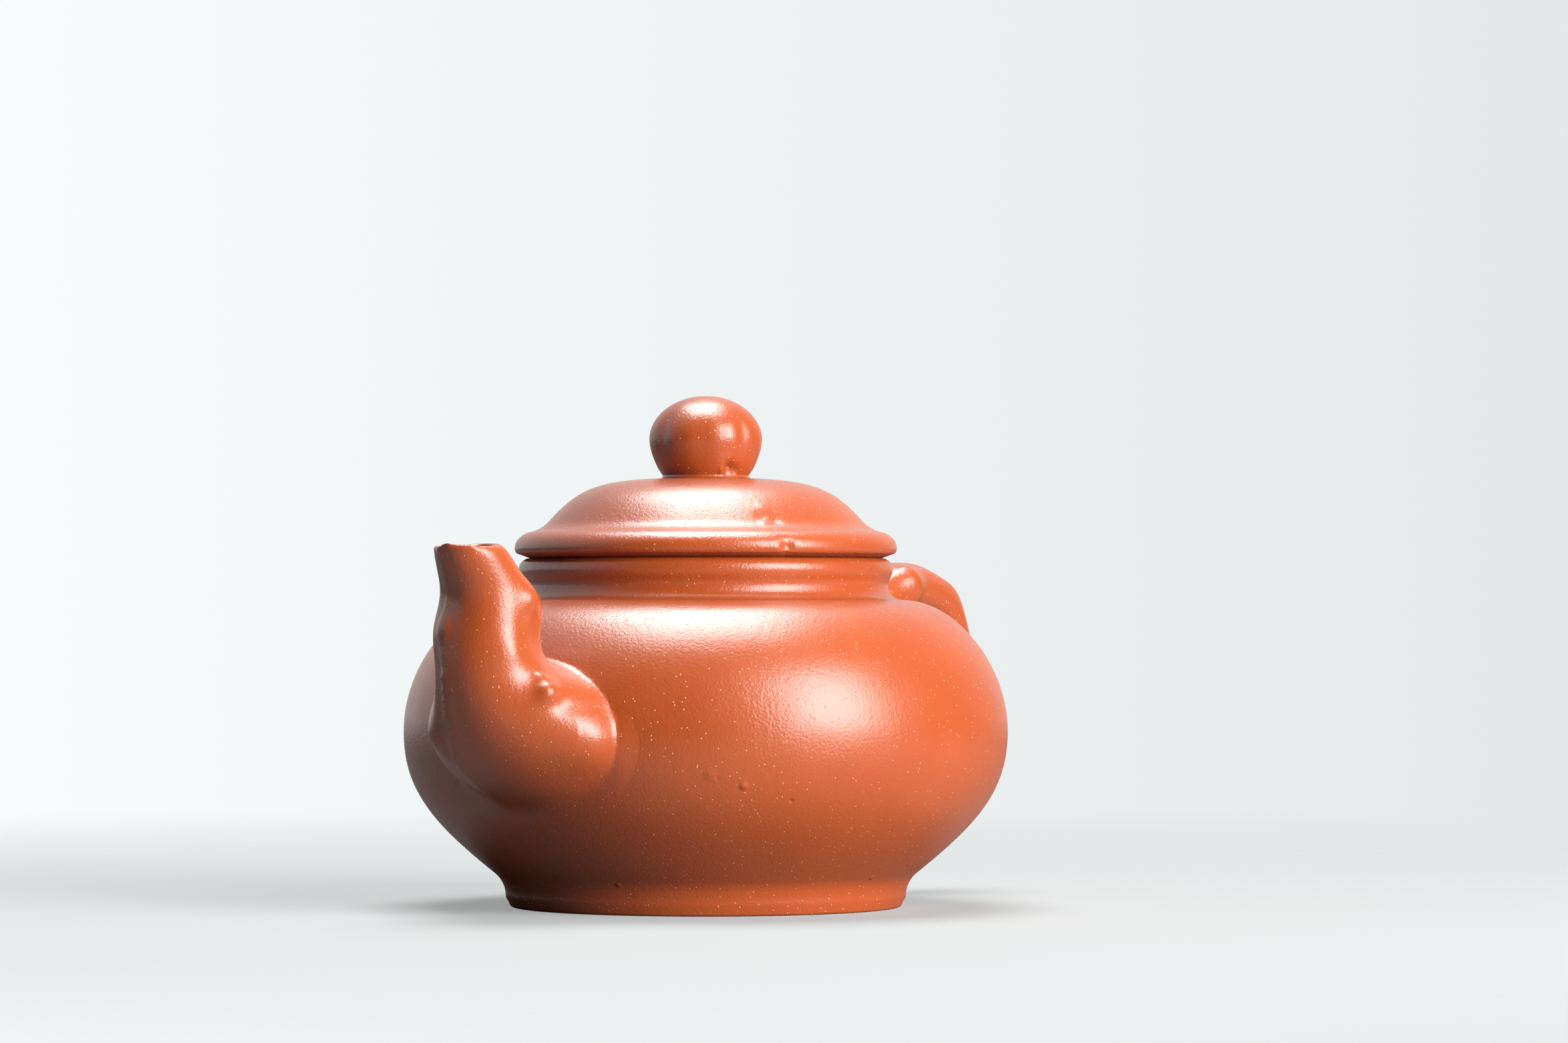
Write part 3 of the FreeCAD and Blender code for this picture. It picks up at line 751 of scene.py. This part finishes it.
def clay_material(name, color, deep_color, roughness, skin_height, shine):
    """Clay with cloudy colour, pale grains, small marks and a fine skin."""
    material, nodes, shader = new_material(name)
    place = nodes.add("ShaderNodeTexCoord").outputs["Object"]
    clouds = nodes.add("ShaderNodeTexNoise", Vector=place, Scale=70.0, Detail=4.0, Roughness=0.6)
    cloudy = nodes.tint(clouds.outputs["Fac"], deep_color, color)
    grain = pale_grains(nodes, place)
    nodes.give(shader, "Base Color", nodes.tint(grain, cloudy, PALE_GRAIN))
    fine = nodes.add("ShaderNodeTexNoise", Vector=place, Scale=2600.0, Detail=2.0, Roughness=0.5)
    upright = nodes.add("ShaderNodeMapping", Vector=place, Scale=(1.0, 1.0, 0.1)).outputs["Vector"]
    strokes = nodes.add("ShaderNodeTexNoise", Vector=upright, Scale=1100.0, Detail=2.0)
    skin = nodes.raised(fine.outputs["Fac"], skin_height)
    skin = nodes.raised(strokes.outputs["Fac"], 0.5 * skin_height, skin)
    skin = nodes.raised(grain, GRAIN_HEIGHT, skin)
    skin = nodes.raised(small_marks(nodes, place), MARK_HEIGHT, skin)
    nodes.give(shader, "Normal", skin)
    worn = nodes.add("ShaderNodeTexNoise", Vector=place, Scale=160.0, Detail=3.0)
    gloss = nodes.ramp(worn.outputs["Fac"], 0.0, 1.0, roughness - GLOSS_SPREAD, roughness + GLOSS_SPREAD)
    nodes.give(shader, "Roughness", gloss)
    shader.inputs["Specular IOR Level"].default_value = shine
    return material


burnished = clay_material("burnished_clay", CLAY, DEEP_CLAY, 0.32, 0.00005, 1.0)
bare = clay_material("bare_clay", BARE_CLAY, DEEP_CLAY, 0.72, 0.0001, 0.5)
CLAYS = (burnished, bare)

# The turned pieces of the pot
pot_line = pot_outside() + pot_inside()
belly_line = bow(
    at(BELLY_RADIUS, BELLY_HEIGHT), at(BELLY_RADIUS, SHOULDER_HEIGHT),
    at(NECK_RADIUS + NECK_FILLET, SHOULDER_HEIGHT), BELLY_FULLNESS_ABOVE,
)
seam_index = min(range(len(belly_line)), key=lambda i: abs(belly_line[i].x - SHOULDER_SEAM_RADIUS))
shoulder_seam = belly_line[seam_index]
over_shoulder = (belly_line[seam_index + 1] - belly_line[seam_index - 1]).normalized()

above_foot = (at(0, FOOT_HEIGHT), UP)
below_foot = (at(0, FOOT_HEIGHT), -UP)
over_seam = (shoulder_seam, over_shoulder)
under_seam = (shoulder_seam, -over_shoulder)
POT_PIECES = {
    "foot_ring": [above_foot],
    "base_disc": [below_foot, (at(BASE_RADIUS, 0), OUTWARDS), (at(0, BELLY_HEIGHT), UP)],
    "body_wall": [below_foot, (at(BASE_RADIUS, 0), -OUTWARDS), over_seam],
    "shoulder_disc": [(at(0, NECK_SEAM), UP), (at(0, BELLY_HEIGHT), -UP), under_seam],
    "neck_ring": [(at(0, NECK_SEAM), -UP), (at(0, MOUTH_SEAM), UP)],
    "mouth_ring": [(at(0, MOUTH_SEAM), -UP)],
}


def outlet_cut(bm):
    """Opens the wall behind the spout."""
    inside = []
    for face in bm.faces:
        middle = face.calc_center_median()
        if middle.x > 0 and math.hypot(middle.y, middle.z - OUTLET_HEIGHT) < OUTLET_RADIUS:
            inside.append(face)
    bmesh.ops.delete(bm, geom=inside, context="FACES")
    rims = [edge for edge in bm.edges if edge.is_boundary]
    bmesh.ops.bridge_loops(bm, edges=rims)


for node, cuts in POT_PIECES.items():
    shape = turned(parted(pot_line, *cuts))
    if node == "body_wall":
        outlet_cut(shape)
    bare_inside(shape)
    hand_pressed(shape, PRESS_DEPTH)
    finished(shape, node + "_clay", "pot", CLAYS, [node])

# The branches
tree = wall_tree()


def spout_fillet(place):
    """Crisp at the top of the root, soft below."""
    return SPOUT_CREASE + SPOUT_SOFTNESS * ease((SPOUT_SOFT_BELOW - place.z) / SPOUT_SOFT_FADE)


def handle_fillet(place):
    """The same all round the root."""
    return HANDLE_FILLET


def lip_rounded(bm):
    """Rounds the pouring lip with a wet finger and draws it up a little."""
    rubbed(bm, [vert for vert in bm.verts if vert.co.z > SPOUT_LIP], LIP_RUBS)
    for vert in bm.verts:
        vert.co.z += LIP_RISE * ease((vert.co.z - SPOUT_LIP + 2) / 3)


spout = luted_branch("spout", tree, 0, SPOUT_HALF_ANGLE, spout_fillet)
rubbed(spout, along(spout, SPOUT_RIDGE, SPOUT_RIDGE_REACH), RIDGE_RUBS)
swelled(spout, SPOUT_KNUCKLES)
lip_rounded(spout)
hand_pressed(spout, PRESS_DEPTH)
finished(spout, "spout_clay", "pot", CLAYS, ["spout"])

handle = luted_branch("handle", tree, math.pi, HANDLE_HALF_ANGLE, handle_fillet)
rubbed(handle, along(handle, HANDLE_RIDGE, HANDLE_RIDGE_REACH), RIDGE_RUBS)
swelled(handle, HANDLE_KNUCKLES)
hand_pressed(handle, PRESS_DEPTH)
finished(handle, "handle_clay", "pot", CLAYS, ["handle"])

# The lid
lid_line = lid_outline()
knob_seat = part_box("knob")[0].z / MM + KNOB_LIFT
knob_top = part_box("knob")[1].z / MM
outside_dome = (at(LID_DOME_RADIUS, 0), OUTWARDS)
inside_dome = (at(LID_DOME_RADIUS, 0), -OUTWARDS)
over_seat = (at(0, knob_seat), UP)
inside_vent = (at(VENT_RADIUS, 0), -OUTWARDS)
LID_PIECES = {
    "lid_rim": parted(lid_line, inside_dome),
    "lid_dome": parted(lid_line, outside_dome, over_seat, inside_vent),
    "lid_flange": section(flange_outline()),
}
for node, flat in LID_PIECES.items():
    shape = turned(flat)
    bare_inside(shape)
    swelled(shape, LID_KNOCKS)
    finished(shape, node + "_clay", "lid", CLAYS, [node])

knob = turned(section(knob_outline(knob_seat, knob_top)))
lobed(knob, knob_seat, knob_top)
swelled(knob, KNOB_KNOCKS)
finished(knob, "knob_clay", "lid", CLAYS, ["knob"])

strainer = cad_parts["strainer"]
strainer.data.materials.clear()
strainer.data.materials.append(bare)

# Camera
camera_data = bpy.data.cameras.new("camera")
camera_data.lens = CAMERA_LENS
camera_data.shift_x = CAMERA_SHIFT_X
camera_data.shift_y = CAMERA_SHIFT_Y
camera = bpy.data.objects.new("camera", camera_data)
camera.location = (
    CAMERA_DISTANCE * math.cos(CAMERA_TURN),
    CAMERA_DISTANCE * math.sin(CAMERA_TURN),
    CAMERA_HEIGHT,
)
camera.rotation_euler = (math.pi / 2, 0, CAMERA_TURN + math.pi / 2)
bpy.context.scene.collection.objects.link(camera)
bpy.context.scene.camera = camera
bpy.context.scene.view_settings.view_transform = "Standard"


def from_camera_side(turn, lift):
    """A direction from the pot, turned to the right of the camera and lifted, in degrees."""
    around = CAMERA_TURN + math.radians(turn)
    up = math.radians(lift)
    level = math.cos(up)
    return Vector((math.cos(around) * level, math.sin(around) * level, math.sin(up)))


def soft_light(name, turn, lift, width, height, power, in_gloss):
    """A softbox that looks at the pot."""
    data = bpy.data.lights.new(name, "AREA")
    data.shape = "RECTANGLE"
    data.size = width
    data.size_y = height
    data.energy = power
    light = bpy.data.objects.new(name, data)
    way = from_camera_side(turn, lift)
    light.location = POT_MIDDLE * MM + way * LIGHT_DISTANCE
    light.rotation_euler = way.to_track_quat("Z", "Y").to_euler()
    light.visible_glossy = in_gloss
    bpy.context.scene.collection.objects.link(light)


for light_values in LIGHTS:
    soft_light(*light_values)

floor_shape = bmesh.new()
bmesh.ops.create_circle(floor_shape, cap_ends=True, segments=96, radius=FLOOR_REACH)
floor_mesh = bpy.data.meshes.new("floor")
floor_shape.to_mesh(floor_mesh)
floor_shape.free()
floor = bpy.data.objects.new("floor", floor_mesh)
bpy.context.scene.collection.objects.link(floor)


def floor_material():
    """A pale sweep: it takes the shadow near the pot and fades to the backdrop further off."""
    material, nodes, shader = new_material("pale_floor")
    from_camera = nodes.add("ShaderNodeLightPath").outputs["Is Camera Ray"]
    nodes.give(shader, "Base Color", nodes.tint(from_camera, FLOOR_BOUNCE_COLOR, FLOOR_COLOR))
    shader.inputs["Roughness"].default_value = 0.9
    shader.inputs["Specular IOR Level"].default_value = 0.1
    place = nodes.add("ShaderNodeTexCoord").outputs["Object"]
    away = nodes.measured("LENGTH", place)
    fade = nodes.ramp(away, FADE_START, FADE_END, FADE_LEAST, 1.0, soft=True)
    blend = nodes.add("ShaderNodeMixShader")
    nodes.give(blend, 0, nodes.sums("MULTIPLY", fade, from_camera))
    nodes.give(blend, 1, shader.outputs[0])
    nodes.give(blend, 2, nodes.add("ShaderNodeBsdfTransparent").outputs[0])
    nodes.give(material.node_tree.nodes["Material Output"], "Surface", blend.outputs[0])
    return material


floor_mesh.materials.append(floor_material())


def room():
    """A pale room behind the pot and a dim one in front, with a pale backdrop for the camera, painted
    brighter at its left and dimmer at its right as its light falls off.
    """
    world = bpy.data.worlds.new("room")
    world.use_nodes = True
    nodes = Nodes(world.node_tree)
    path = nodes.add("ShaderNodeLightPath").outputs
    way = nodes.add("ShaderNodeTexCoord").outputs["Generated"]
    behind = nodes.measured("DOT_PRODUCT", way, from_camera_side(215, 10))
    pale = nodes.ramp(behind, -0.2, 0.7, ROOM_DIM, ROOM_PALE, soft=True)
    in_gloss = nodes.sums("MAXIMUM", path["Is Glossy Ray"], path["Is Transmission Ray"])
    strength = nodes.level(in_gloss, ROOM_FILL, pale)
    # Painted light falloff on the backdrop: brighter at the camera's left, dimmer at its right
    sideways = nodes.measured("DOT_PRODUCT", way, from_camera_side(90, 0))
    backdrop = nodes.ramp(
        sideways, -BACKDROP_HALF_WIDTH, BACKDROP_HALF_WIDTH, BACKDROP_LEFT, BACKDROP_RIGHT,
    )
    background = world.node_tree.nodes["Background"]
    background.inputs["Color"].default_value = BACKDROP_COLOR
    nodes.give(background, "Strength", nodes.level(path["Is Camera Ray"], strength, backdrop))
    bpy.context.scene.world = world


room()
